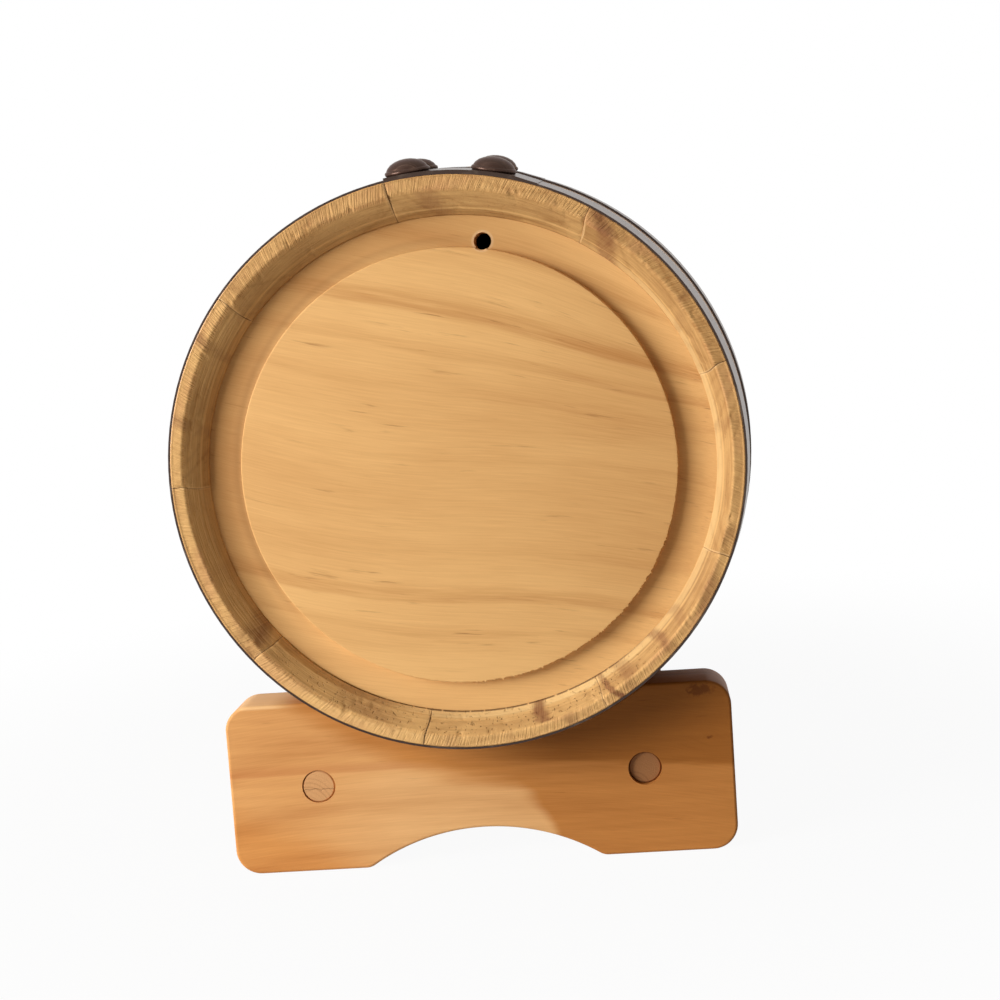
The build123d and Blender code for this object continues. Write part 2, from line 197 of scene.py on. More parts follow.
class Value:
    """An output socket that can be used in an expression."""

    def __init__(self, tree, socket):
        self.tree = tree
        self.socket = socket

    def maths(self, operation, *terms):
        """One Math node on these terms."""
        step = self.tree.nodes.new("ShaderNodeMath")
        step.operation = operation
        for target, term in zip(step.inputs, terms):
            link(self.tree, target, term)
        return Value(self.tree, step.outputs[0])

    __add__ = operator("ADD")
    __radd__ = operator("ADD", swapped=True)
    __sub__ = operator("SUBTRACT")
    __rsub__ = operator("SUBTRACT", swapped=True)
    __mul__ = operator("MULTIPLY")
    __rmul__ = operator("MULTIPLY", swapped=True)
    __truediv__ = operator("DIVIDE")
    __pow__ = operator("POWER")
    sine = operator("SINE")
    size = operator("ABSOLUTE")
    least = operator("MINIMUM")
    most = operator("MAXIMUM")


class Tree:
    """A node tree that is written as expressions."""

    def __init__(self, tree):
        self.tree = tree

    def node(self, kind, settings=None, sockets=None, out=0):
        """Any node: its type, its settings, the values or links of its sockets, and an output."""
        made = self.tree.nodes.new(kind)
        for name, value in (settings or {}).items():
            setattr(made, name, value)
        for name, value in (sockets or {}).items():
            link(self.tree, made.inputs[name], value)
        return Value(self.tree, made.outputs[out])

    def vector(self, x, y, z):
        return self.node("ShaderNodeCombineXYZ", sockets={0: x, 1: y, 2: z})

    def parts(self, vector):
        """The three numbers of a vector."""
        return [self.node("ShaderNodeSeparateXYZ", sockets={0: vector}, out=k) for k in range(3)]

    def noise(self, x, y, z, detail=3, rough=0.6):
        """Soft noise from 0 to 1. One unit of x, y or z is about one blot."""
        sockets = {"Vector": self.vector(x, y, z), "Scale": 1}
        sockets |= {"Detail": detail, "Roughness": rough}
        return self.node("ShaderNodeTexNoise", sockets=sockets)

    def ramp(self, value, low, high, to_low=0, to_high=1):
        """A smooth step from to_low to to_high while value goes from low to high."""
        if low > high:
            low, high, to_low, to_high = high, low, to_high, to_low
        settings = {"interpolation_type": "SMOOTHSTEP"}
        sockets = {0: value, 1: low, 2: high, 3: to_low, 4: to_high}
        return self.node("ShaderNodeMapRange", settings, sockets)

    def mix(self, amount, first, second):
        """Two colours mixed by an amount. The node itself holds the amount between 0 and 1."""
        sockets = {0: amount, 6: linear(first), 7: linear(second)}
        return self.node("ShaderNodeMix", {"data_type": "RGBA"}, sockets, out=2)

    def layered(self, colour, *layers):
        """A colour with others laid over it one by one. Each layer is (amount, colour)."""
        for amount, upper in layers:
            colour = self.mix(amount, colour, upper)
        return colour


class Finish(Tree):
    """A material whose Principled shader is fed by expressions."""

    def __init__(self, name, **constants):
        self.material = bpy.data.materials.new(name)
        self.material.use_nodes = True
        super().__init__(self.material.node_tree)
        self.shader = self.tree.nodes["Principled BSDF"]
        for socket, value in constants.items():
            self.shader.inputs[socket.replace("_", " ")].default_value = value

    def place(self):
        """The point on the object, as three numbers in metres."""
        return self.parts(self.node("ShaderNodeTexCoord", out="Object"))

    def shade(self, colour, roughness, height, depth, **others):
        """Wire the results into the shader. A height of 1 stands for depth in metres."""
        bump = {"Height": height, "Distance": depth, "Strength": 1}
        normal = self.node("ShaderNodeBump", sockets=bump)
        wires = {"Base_Color": colour, "Roughness": roughness, "Normal": normal, **others}
        for socket, value in wires.items():
            link(self.tree, self.shader.inputs[socket.replace("_", " ")], value)
        return self.material


class Recipe(Tree):
    """A Geometry Nodes tree with named inputs, which turns a host mesh into a finished piece."""

    def __init__(self, name, inputs):
        super().__init__(bpy.data.node_groups.new(name, "GeometryNodeTree"))
        sockets = self.tree.interface
        sockets.new_socket("Geometry", in_out="INPUT", socket_type="NodeSocketGeometry")
        sockets.new_socket("Geometry", in_out="OUTPUT", socket_type="NodeSocketGeometry")
        self.identifiers = {}
        for label, kind in inputs.items():
            made = sockets.new_socket(label, in_out="INPUT", socket_type=f"NodeSocket{kind}")
            self.identifiers[label] = made.identifier
        self.entry = self.tree.nodes.new("NodeGroupInput")
        self.exit = self.tree.nodes.new("NodeGroupOutput")

    def given(self, label):
        """The value of a named input."""
        return Value(self.tree, self.entry.outputs[label])

    def result(self, geometry):
        """End the tree: real faces, with the material that was asked for."""
        real = self.node("GeometryNodeRealizeInstances", sockets={"Geometry": geometry})
        sockets = {"Geometry": real, "Material": self.given("Material")}
        link(self.tree, self.exit.inputs[0], self.node("GeometryNodeSetMaterial", sockets=sockets))

    def make(self, name, host_mesh, values):
        """Run the recipe on a host mesh, and return the result as an object with a plain mesh."""
        piece = placed(name, host_mesh)
        modifier = piece.modifiers.new("recipe", "NODES")
        modifier.node_group = self.tree
        for label, value in values.items():
            modifier[self.identifiers[label]] = value
        bake(piece)
        return piece


def settle(shape, mesh):
    """Write a shape to a mesh, with its faces turned outwards."""
    bmesh.ops.recalc_face_normals(shape, faces=shape.faces)
    shape.to_mesh(mesh)
    shape.free()
    return mesh


def evaluated_mesh(piece):
    """A piece's shape after its modifiers, as a new mesh."""
    graph = bpy.context.evaluated_depsgraph_get()
    return bpy.data.meshes.new_from_object(piece.evaluated_get(graph))


def bake(piece):
    """Apply every modifier of a piece, and turn its faces outwards."""
    mesh = evaluated_mesh(piece)
    piece.modifiers.clear()
    piece.data = mesh
    mesh.name = piece.name
    shape = bmesh.new()
    shape.from_mesh(mesh)
    bmesh.ops.remove_doubles(shape, verts=shape.verts, dist=0.002 * MM)
    settle(shape, mesh)


def linear(colour):
    """A colour as a screen shows it, 0 to 255, as linear light. A Value passes unchanged."""
    if isinstance(colour, Value):
        return colour
    shares = [part / 255 for part in colour]
    light = (s / 12.92 if s <= 0.04045 else ((s + 0.055) / 1.055) ** 2.4 for s in shares)
    return (*light, 1)


def length(across, up):
    """Length of a flat vector."""
    return (across * across + up * up) ** 0.5


def skin_radius(along):
    """Radius of the staves' outside as a formula that node maths can hold."""
    flat = along / half_length
    return bilge_radius - (bilge_radius - rim_radius) * flat * flat


def paint(node, material):
    """Give a CAD node or a new piece one material."""
    piece = nodes[node] if isinstance(node, str) else node
    piece.data.materials.clear()
    piece.data.materials.append(material)


def stands_for(piece, body, slot, *replaced):
    """Tie a new piece to its body, and hide the CAD nodes that it replaces. slot is not used."""
    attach(piece, body)
    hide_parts(*replaced)
    print(piece.name, len(piece.data.polygons), "faces")


# %% [markdown]
# ## Softwood
#
# The whole object is one kind of wood: a pale conifer. Sawn boards show three things at once.
# Growth rings are shells around the heart of the tree, so a board cuts them into bands. Fibres
# run along the board as very fine lines. And the tone drifts slowly. All three are worked out
# in space rather than drawn on a face, so they run on over edges and into coves.

# %% Softwood grain


def softwood(f, run, side, deep, ring, heart, seed, sway):
    """Tones of the wood from 0 to 1 at a point: rings, fibres and slow drift.

    run is measured along the grain, side across it in the face, deep below the face. ring is
    the width of a growth ring, and sway how far it wanders. The heart of the tree lies at
    heart, in side and deep.
    """
    wander = f.noise(run * 9 + seed, side * 13, deep * 13, detail=2, rough=0.5) - 0.5
    ripple = f.noise(run * 45 + seed, side * 90, deep * 90, detail=1, rough=0.5) - 0.5
    across = side - heart[0] + wander * sway
    below = deep + heart[1] + wander * sway * 0.7
    shell = length(across, below) + ripple * 1.2 * MM
    wave = (shell * (2 * pi / ring)).sine() * 0.5 + 0.5
    spread = f.noise(run * 4 + seed, shell / (2.2 * ring), 0, detail=1, rough=0.5)
    rings = wave**3 * f.ramp(spread, 0.32, 0.68)
    fibres = f.noise(run * 70 + seed, side * 2200, deep * 2200)
    drift = f.noise(run * 14, side * 55 + seed, deep * 55, rough=0.55)
    return rings, fibres, drift


def flecks(f, run, side, deep, seed, sparse=0.66):
    """Thin dark resin streaks that lie along the grain."""
    spots = f.noise(run * 70 + seed, side * 950, deep * 950, rough=0.5)
    gather = f.noise(run * 26, side * 75 + seed, deep * 75, detail=1, rough=0.5)
    return f.ramp(spots, sparse - 0.04, sparse + 0.14) * f.ramp(gather, 0.42, 0.58)


# %% [markdown]
# ## Staves
#
# Nine staves close the circle. Each is a wedge of the same bulged shell, so its shape is one
# section swept through an angle, and Geometry Nodes sweep it. The rims are what one sees from
# here: saw-torn end grain, a hand-cut bevel, and narrow dark joints. Torn fibres, soft edges at
# the joints and small steps from stave to stave are offsets that the same tree adds. The
# outside stays true, because the hoops lie on it.

# %% Stave section
bevel_step = 0.4 * MM
inner_steps, outer_steps = 16, 60


def subdivided(points, step):
    """A polyline with extra points, no more than a step apart."""
    fine = [points[0]]
    for start, end in zip(points, points[1:]):
        count = max(1, round(dist(start, end) / step))
        for k in range(1, count + 1):
            fine.append(tuple(a + (b - a) * k / count for a, b in zip(start, end)))
    return fine


def stave_section(wider, deeper):
    """Closed section of a stave as (along, radius), with its own width of end grain and bevel."""
    foot = rim_radius - end_grain_width - wider
    wall_top = wall_radius + howel_drop
    rear = [(half_length, rim_radius), (half_length, foot)]
    rear += [(half_length - bevel_depth - deeper, wall_top), (croze_outer, wall_radius)]
    rear = subdivided(rear, bevel_step)
    rear += [(croze_outer, croze_radius), (croze_inner, croze_radius)]
    inner = [croze_inner * (1 - 2 * k / inner_steps) for k in range(inner_steps + 1)]
    middle = [(along, outside(along) - stave_thickness) for along in inner]
    front = [(-along, radius) for along, radius in reversed(rear)]
    outer = [-half_length * (1 - 2 * k / outer_steps) for k in range(1, outer_steps)]
    return rear + middle + front + [(along, outside(along)) for along in outer]


def loop_mesh(name, points):
    """A mesh of one closed loop of edges."""
    mesh = bpy.data.meshes.new(name)
    mesh.from_pydata(points, [(k, (k + 1) % len(points)) for k in range(len(points))], [])
    return mesh


# %% Stave recipe
inputs = {"Start": "Float", "Sweep": "Float", "Steps": "Int", "Seed": "Float"}
stave_recipe = Recipe("stave", inputs | {"End Set Back": "Float", "Material": "Material"})
r = stave_recipe
sweep_arc = {
    "Resolution": r.given("Steps"),
    "Radius": rim_radius,
    "Start Angle": r.given("Start"),
    "Sweep Angle": r.given("Sweep"),
}
arc = r.node("GeometryNodeCurveArc", {"mode": "RADIUS"}, sweep_arc)
share = r.node("GeometryNodeSplineParameter", out="Factor")
marked = {"Geometry": arc, "Name": "across", "Value": share}
arc = r.node("GeometryNodeStoreNamedAttribute", {"data_type": "FLOAT"}, marked)
section = r.node("GeometryNodeMeshToCurve", sockets={"Mesh": r.given("Geometry")})
sweep = {"Curve": arc, "Profile Curve": section, "Fill Caps": True}
swept = r.node("GeometryNodeCurveToMesh", sockets=sweep)
upright = {"Geometry": swept, "Rotation": (radians(90), 0, 0)}
turned = r.node("GeometryNodeTransform", sockets=upright)

# where a point lies: along the cask, how far from its axis, and how far from the joints
side, along, up = r.parts(r.node("GeometryNodeInputPosition"))
depth = half_length - along.size()
radius = length(side, up)
across = r.node("GeometryNodeInputNamedAttribute", {"data_type": "FLOAT"}, {"Name": "across"})
to_joint = across.least(1 - across) * r.given("Sweep") * rim_radius
below_skin = skin_radius(along) - radius
free = r.ramp(below_skin, 0, 0.5 * MM)

# %% Stave wear
tear_depth, crumb_depth, shave_depth = 0.11 * MM, 0.22 * MM, 0.16 * MM
corner_depth, joint_depth = 0.4 * MM, 0.16 * MM

# the offsets, all inwards along the cask
on_end = r.ramp(depth, 0.5 * MM, 0)
on_rim = r.ramp(depth, 6.9 * MM, 6.5 * MM)
round_x, round_z = side / radius, up / radius
seed = r.given("Seed")
tears = r.ramp(r.noise(round_x * 150 + seed, round_z * 150, radius * 160), 0.42, 0.7)
crumbs = r.ramp(r.noise(side * 230 + seed, along * 230, up * 230), 0.56, 0.72)
shave = r.noise(round_x * 9 + seed, radius * 1500, round_z * 9, detail=2, rough=0.5)
corner = r.ramp((radius - (rim_radius - end_grain_width)).size(), 1.3 * MM, 0)
back = on_end * tears * tear_depth + on_rim * crumbs * crumb_depth + on_rim * shave * shave_depth
back = back + corner * on_rim * crumbs * corner_depth
back = back + on_rim * r.ramp(to_joint, 0.35 * MM, 0) * joint_depth
back = back + on_rim * r.given("End Set Back")
inwards = back * free * along.maths("SIGN", along) * -1

# the bore was turned a little off the rim's middle, and has shrunk from top to bottom since
bore_shift, bore_drop, bore_squash = 0.7 * MM, 1 * MM, 1.3 * MM
off_middle = r.ramp(below_skin, 2 * MM, 7 * MM) * on_rim * r.ramp(along, 0, 0.01)
drop = round_z * round_z.size() * -bore_squash - bore_drop
shifted = r.vector(off_middle * -bore_shift, inwards, off_middle * drop)
worn = r.node("GeometryNodeSetPosition", sockets={"Geometry": turned, "Offset": shifted})
put = r.node("GeometryNodeTransform", sockets={"Geometry": worn, "Translation": centre})
r.result(put)

# %% [markdown]
# The finish of a stave has four zones, told apart by where a point lies: lacquered outside, end
# grain, bevel with the wall inside it, and the hidden rest. Each stave has its own seed, its own
# tone, and its own dark stripes of heartwood, which run nearly straight out from the axis.

# %% Stave finish
end_colours = (232, 184, 118), (146, 94, 44)
bevel_colours = (216, 170, 108), (132, 84, 38)
outside_colours = (226, 168, 98), (158, 98, 44)
# colours of the wall's painted light, of a blush and of heartwood, then of pale and dusty seams
# and of the painted shade in gaps
wall_light_colour, blushed, heartwood = (244, 208, 146), (206, 146, 100), (126, 76, 46)
pale_seam, dusty_seam, gap_shade_colour = (240, 202, 146), (112, 70, 38), (70, 40, 18)
lean_reach = 9  # mm of radius in which a stripe leans by its full lean


def stave_finish(name, middle, seed, tone, bevel_shade, stripes):
    """Finish of one stave. tone darkens its end, bevel_shade its bevel. Stripes are as below."""
    f = Finish(name, IOR=1.45, Coat_Roughness=0.24, Specular_IOR_Level=0.22)
    x, y, z = f.place()
    turn = radians(middle)
    up = z - axis_height
    out = x * -sin(turn) + up * cos(turn)
    over = x * -cos(turn) + up * -sin(turn)
    along = y - cask_middle
    depth = half_length - along.size()
    radius = length(x, up)
    spin = over / out * rim_radius
    lacquered = f.ramp(skin_radius(along) - radius, 0.2 * MM, 0.05 * MM)
    on_end = f.ramp(depth, 1.1 * MM, 0.5 * MM) * (1 - lacquered)
    off_end = 1 - on_end
    grain = softwood(f, along, over, out * -1, 2.6 * MM, (0.012, 0.15), seed, 9 * MM)
    rings, fibres, drift = grain

    # torn fibres of the end grain run nearly straight out, shavings of the bevel run round
    slant = spin + (rim_radius - radius) * 0.35
    lines = f.ramp(f.noise(slant * 1900 + seed, radius * 110, 0), 0.28, 0.72)
    cracks = f.ramp(f.noise(slant * 900 + seed, radius * 90, 3), 0.62, 0.7)
    shavings = f.noise(spin * 45 + seed, depth * 1300, radius * 1300, detail=4, rough=0.65)
    pores = f.ramp(f.noise(x * 1100, y * 1100, z * 1100 + seed, detail=2), 0.6, 0.72)
    low = f.ramp(up, -45 * MM, -70 * MM)
    patch = f.noise(spin * 75 + seed, radius * 75, depth * 75)
    blush = f.ramp(f.noise(spin * 60, radius * 120, seed, detail=2, rough=0.5), 0.45, 0.7)
    arris = f.ramp((depth - bevel_depth + shavings * 0.6 * MM).size(), 0.35 * MM, 0.05 * MM)
    # painted light on the wall of the rim, stronger on the lower right of the view, where the wall
    # faces the window
    painted_wall_light = f.ramp(depth, bevel_depth - 0.2 * MM, bevel_depth + 0.5 * MM)
    painted_wall_light = painted_wall_light * f.ramp(x + up * 0.5, 14 * MM, -40 * MM)

    end_tone = lines * 0.26 + cracks * 0.16 + rings * 0.15 + patch * 0.6 - 0.19
    bevel_tone = shavings * 0.95 + patch * 0.65 + pores * (0.15 + low * 0.14) - 0.5 + rings * 0.15
    long_tone = rings * 0.55 + fibres * 0.35 + drift * 0.4 - 0.25
    end_colour = f.mix(blush * 0.35, f.mix(end_tone + tone, *end_colours), blushed)
    colour = f.layered(
        f.mix(bevel_tone + bevel_shade - arris * 0.35, *bevel_colours),
        (painted_wall_light * (low * 0.25 + 0.4), wall_light_colour),
        (on_end, end_colour),
        (lacquered, f.mix(long_tone, *outside_colours)),
    )

    # stripes of heartwood, ragged across the rim and calmer along the wall
    ragged_place = depth.least(8 * MM) * 200 + (depth - 8 * MM).most(0) * 14
    dark = 0
    for clock, width, lean, end_strength, bevel_strength in stripes:
        place = tan(radians(clock - middle)) * rim_radius
        drop = (rim_radius - radius) * (lean / lean_reach)
        ragged = f.noise(radius * 420 + seed, clock, ragged_place, detail=4) - 0.5
        gap = (spin - place - drop + ragged * (width * 1.25 * MM)).size()
        strength = on_end * (end_strength - bevel_strength) + bevel_strength
        dark = f.ramp(gap, width * MM * 0.6, width * MM * 0.15) * strength + dark
    dark = dark.least(0.9) * f.ramp(patch + lines * 0.2, 0.35, 0.75, 0.45, 1)

    # joints, and painted shade of a gap here and there between the lower staves and the head
    share = f.node("ShaderNodeAttribute", {"attribute_name": "across"}, out="Fac")
    seam = share.least(1 - share) * radians(40) * rim_radius
    pale = f.ramp(seam, 0.65 * MM, 0.25 * MM) * f.ramp(patch, 0.4, 0.6)
    dusty = f.ramp(seam, 0.2 * MM, 0.04 * MM) * f.ramp(patch, 0.62, 0.42, 0.2, 0.7)
    painted_gap_shade = f.ramp(depth, 6 * MM, 6.25 * MM) * f.ramp(up, -48 * MM, -66 * MM)
    painted_gap_shade = painted_gap_shade * f.ramp(f.noise(spin * 420 + seed, 1, 1, rough=0.5), 0.34, 0.46)
    seams = (pale * 0.4, pale_seam), (dusty, dusty_seam), (painted_gap_shade * 0.75, gap_shade_colour)
    colour = f.layered(colour, (dark, heartwood), *seams)

    heights = (1 - lines) * on_end * 0.45 + shavings * off_end * 0.8 - pores * low * off_end
    heights = heights * (1 - lacquered) + (1 - rings) * lacquered * 0.12
    gloss = 0.62 - lacquered * 0.2
    return f.shade(colour, gloss, heights, 0.26 * MM, Coat_Weight=lacquered * 0.45)


# %% Staves
dice = random.Random(7)
# each stave: darkness of its end grain and of its bevel, how far its end is set back in mm, and
# its stripes: clock, width in mm, lean in mm, strength on the end grain and on the bevel
stave_table = (
    (0.1, 0.03, 0.25, (-6, 9, 9, 0.05, 0.4), (23, 5, 3, 0.2, 0.05)),
    (0.26, 0.12, 0.05, (34, 9.5, 8, 0.8, 0.75), (56, 5, 9, 0.3, 0.2)),
    (0.08, 0.05, 0.3, (84, 5, 2, 0.15, 0.2), (108, 9, 0, 0.35, 0)),
    (-0.05, 0.06, 0.1, (119.5, 20, 0, 0.5, 0.08), (128, 5, 0, 0, 0.3), (134, 4.5, 1.5, 0.5, 0.6))
    + ((145, 6.5, 0.5, 0.3, 0.5), (148.5, 2.8, 3.5, 0.95, 0.9)),
    (-0.08, -0.12, 0.2, (160, 5, 0, 0.5, 0), (165.3, 5.5, 0.5, 0, 0.9), (185.5, 5, 0, 0.22, 0)),
    (-0.28, -0.2, 0, (205, 24, 0, 0, 0.3)),
    (-0.02, -0.3, 0.25, (232.5, 11, 5, 0.45, 0.65), (247, 8, 3, 0.1, 0.15)),
    (-0.04, -0.1, 0.05, (283, 4.5, -3, 0.5, 0.15), (300, 4, -2.5, 0.6, 0.35)),
    (0.14, 0.03, 0, (313, 6, -2, 0.15, 0.1), (334, 8, 4, 0.2, 0)),
)
gap_angle = 0.018
arc_step = 0.3
clock = first_joint
staves = {}
for number, (width, looks) in enumerate(zip(stave_widths, stave_table), 1):
    tone, bevel_shade, set_back, *stripes = looks
    node = "bung_stave" if number == 1 else f"stave_{number}"
    wider, deeper = dice.uniform(-0.5, 0.5) * MM, dice.uniform(-0.3, 0.3) * MM
    points = [(radius - rim_radius, along, 0) for along, radius in stave_section(wider, deeper)]
    middle = clock + width / 2
    material = stave_finish(f"{node}_wood", middle, 3.7 * number, tone, bevel_shade, stripes)
    values = {
        "Start": radians(90 + clock + gap_angle),
        "Sweep": radians(width - 2 * gap_angle),
        "Steps": round(width / arc_step),
        "Seed": 1.3 * number,
        "End Set Back": set_back * MM,
        "Material": material,
    }
    staves[node] = stave_recipe.make(f"{node}_torn", loop_mesh(node, points), values)
    clock += width


# %% [markdown]
# The bung stave has a tapered hole. It is cut with a Boolean modifier, after the sweep.

# %% Bung hole


def turned_mesh(name, profile, steps, middle, axis=(0, 0, 1)):
    """A closed mesh turned about an axis. The profile is (distance along it, radius) in mm."""
    shape = bmesh.new()
    line = [shape.verts.new((radius * MM, 0, height * MM)) for height, radius in profile]
    edges = [shape.edges.new(pair) for pair in zip(line, line[1:])]
    spin = {"cent": (0, 0, 0), "axis": (0, 0, 1), "angle": 2 * pi, "steps": steps}
    bmesh.ops.spin(shape, geom=line + edges, **spin)
    bmesh.ops.remove_doubles(shape, verts=shape.verts, dist=0.001 * MM)
    turn = Vector((0, 0, 1)).rotation_difference(Vector(axis)).to_matrix().to_4x4()
    shape.transform(Matrix.Translation(middle) @ turn)
    return settle(shape, bpy.data.meshes.new(name))


def cut(piece, mesh):
    """Take a closed mesh away from a piece."""
    cutter = placed("cutter", mesh)
    boolean = piece.modifiers.new("cut", "BOOLEAN")
    boolean.object = cutter
    boolean.solver = "EXACT"
    bpy.context.view_layer.update()
    bake(piece)
    bpy.data.objects.remove(cutter)


foot_radius, mouth_radius = 9.6, 11.08
bung_low, bung_high = span("bung", 2)
reach = (bung_high - bung_low) / MM
hole = [(0, 0), (0, foot_radius), (reach, mouth_radius), (reach, 0)]
cut(staves["bung_stave"], turned_mesh("bung_hole", hole, 96, Vector((0, cask_middle, bung_low))))
for node, piece in staves.items():
    stands_for(piece, "cask", "stave_wood", node)

# %% [markdown]
# ## Heads
#
# A head is one pine board with a turned cove round a raised field. It is a stack of rings, so
# rings of points make it. Near the field's edge the rings lie close together, which leaves room
# for the splinters that the turning tool tore out where it met the grain end on.

# %% Head shape
head_face = half_length - 4.6 * MM
head_back = head_face - 10.4 * MM
field_radius = 62.9 * MM
field_drop = 1 * MM
field_step = 2.4 * MM
cove_extra = 0.6 * MM
cove_floor = head_face - field_step
cove_foot = field_radius + 0.2 * MM
cove_rim = wall_radius + field_drop
arris_foot = head_face - 0.25 * MM
tongue_radius = croze_radius - 0.2 * MM
head_edge = wall_radius - 0.2 * MM
head_turns = 1080


def splinters(clock, step):
    """How far the field's edge is torn back at a clock angle. step falls from 1 at its top."""
    turn = radians(clock)
    spot = Vector((sin(turn), cos(turn), 0)) * 40
    small = noise.noise(spot * 1.7 + Vector((0, 0, step * 0.9)))
    fine = noise.noise(spot * 8 + Vector((0, 0, step * 1.2)))
    torn = max(0, cos(radians(clock - 145))) ** 2
    return (0.08 + 0.16 * torn) * small * MM + (0.03 + 0.95 * torn) * max(0, fine) * MM


def head_rings():
    """Rings of a head as (radius, along, drop, step), from the middle of its face to its back."""
    face = [(k / 12 * 60 * MM, head_face, 0) for k in range(1, 13)]
    face += [((60 + k * 0.45) * MM, head_face, 0) for k in range(1, 6)]
    face += [(field_radius - 0.25 * MM, head_face - 0.02 * MM, 1), (field_radius, arris_foot, 1)]
    for k in range(1, 7):
        face.append((field_radius + 0.02 * MM * k, arris_foot - k * 0.33 * MM, 1 - k / 7))
    for share in (k / 24 for k in range(25)):
        hollow = cove_extra * 4 * share * (1 - share)
        along = cove_floor + (croze_outer - cove_floor) * share - hollow
        face.append((cove_foot + (cove_rim - cove_foot) * share, along, 0))
    edge = [(tongue_radius, croze_outer), (tongue_radius, croze_inner), (head_edge, croze_inner)]
    back = [(68 * MM, head_back), (30 * MM, head_back)]
    rings = [(radius, along, field_drop, step) for radius, along, step in face]
    return rings + [(radius, along, 0, 0) for radius, along in edge + back]


def head_mesh(name, way):
    """Mesh of a head. way is 1 for the rear and -1 for the front."""
    shape = bmesh.new()
    loops = []
    for radius, along, drop, step in head_rings():
        loop = []
        for k in range(head_turns):
            clock = 360 * k / head_turns
            out = radius + (splinters(clock, step) if step else 0)
            around = outwards(clock) * out
            loop.append(shape.verts.new(centre + around + Vector((0, way * along, -drop))))
        loops.append(loop)
    for inner, outer in zip(loops, loops[1:]):
        for k in range(head_turns):
            n = (k + 1) % head_turns
            shape.faces.new((inner[k], outer[k], outer[n], inner[n]))
    for loop, along, drop in ((loops[0], head_face, field_drop), (loops[-1], head_back, 0)):
        hub = shape.verts.new(centre + Vector((0, way * along, -drop)))
        for k in range(head_turns):
            shape.faces.new((hub, loop[k], loop[(k + 1) % head_turns]))
    return settle(shape, bpy.data.meshes.new(name))


# %% Head finish
vent_place = outwards(10) * 64 * MM
vent_height = axis_height + vent_place.z
# height in mm, width in mm, strength
growth_bands = ((166, 9, 0.5), (154, 6, 0.3), (143, 5, 0.14), (124, 4, 0.1))
growth_bands += ((97, 5, 0.12), (83, 6, 0.42), (73, 4, 0.2), (186, 7, 0.3))


def head_finish():
    """Flat-sawn pine, whose grain sweeps down to one side in its upper half."""
    f = Finish("head_pine", IOR=1.45, Specular_IOR_Level=0.22)
    x, y, z = f.place()
    up = z - axis_height
    upper = f.ramp(up, -8 * MM, 45 * MM)
    left, right = x.least(0), x.most(0)
    high_sweep = x * 0.23 - left * left * 3.2
    low_sweep = x * 0.06 + right * right * 2.2 - left * left * 1.5
    side = z - high_sweep * upper - low_sweep * (1 - upper)
    rings, fibres, drift = softwood(f, x, side, y, 5 * MM, (0.118, 0.05), 4, 12 * MM)
    marks = flecks(f, x, side, y, 4)

    # broad growth bands
    wander = (f.noise(x * 14, side * 40, 5, detail=2, rough=0.5) - 0.5) * (7 * MM)
    bands = 0
    for height, width, strength in growth_bands:
        above = side + wander - height * MM
        edge = f.ramp(above, -0.25 * width * MM, 0) * f.ramp(above, width * MM, 0.1 * width * MM)
        bands = edge * strength + bands
    bands = bands * f.ramp(f.noise(x * 30, side * 700, 9), 0.25, 0.65, 0.35, 1)

    # the cove: torn on its lower right, with painted shade on its upper left and at the foot of
    # the field there
    cove = f.ramp(length(x, up), field_radius, field_radius + 2 * MM)
    low_right = f.ramp(up - x * 0.6, 5 * MM, -25 * MM) * f.ramp(x, 0, -25 * MM)
    torn = f.noise(x * 65, side * 1400, 2, detail=2, rough=0.5)
    torn = f.ramp(torn, 0.64, 0.74) * cove * low_right
    marks = (marks + torn).least(1)
    # painted shade over the upper left of the cove, where the rim's wall shadows it
    painted_cove_shade = cove * f.ramp(x * 0.8 + up * 0.6, -8 * MM, 52 * MM)
    low_z = up + field_drop
    from_field = length(x, low_z) - field_radius
    # painted shade on the foot of the field at its upper left, where the step faces the light
    step = f.ramp(from_field, -0.3 * MM, 0.1 * MM) * f.ramp(from_field, 4 * MM, 1.2 * MM)
    step = step * f.ramp(x * 0.85 + low_z * 0.5, 5 * MM, 45 * MM)
    from_vent = length(x - vent_place.x, z - vent_height)
    chipped = f.ramp(from_vent, 3.35 * MM, 3 * MM) * f.ramp(from_vent, 2.4 * MM, 2.6 * MM)

    # a darker belt across the middle, and painted shade towards the right of the view, away from
    # the window
    belt_and_painted_shade = f.ramp((up + 2 * MM).size(), 42 * MM, 10 * MM) + f.ramp(x, -10 * MM, -60 * MM)
    tones = bands * 0.85 + rings * 0.12 + fibres * 0.46 + drift * 0.5 + belt_and_painted_shade * 0.12 - 0.38
    colour = f.layered(
        f.mix(tones, (237, 187, 121), (180, 116, 56)),
        ((marks * (0.5 + bands * 0.6) + torn * 0.2).least(0.75), (136, 84, 40)),
        (painted_cove_shade * 0.42, (150, 96, 44)),
        (step * 0.42, (128, 92, 50)),
        (chipped * 0.25, (240, 214, 178)),
    )
    height = (1 - rings) * 0.4 + fibres * 0.5 - marks * 0.6
    return f.shade(colour, 0.55 + fibres * 0.15, height, 0.1 * MM)


head_pine = head_finish()

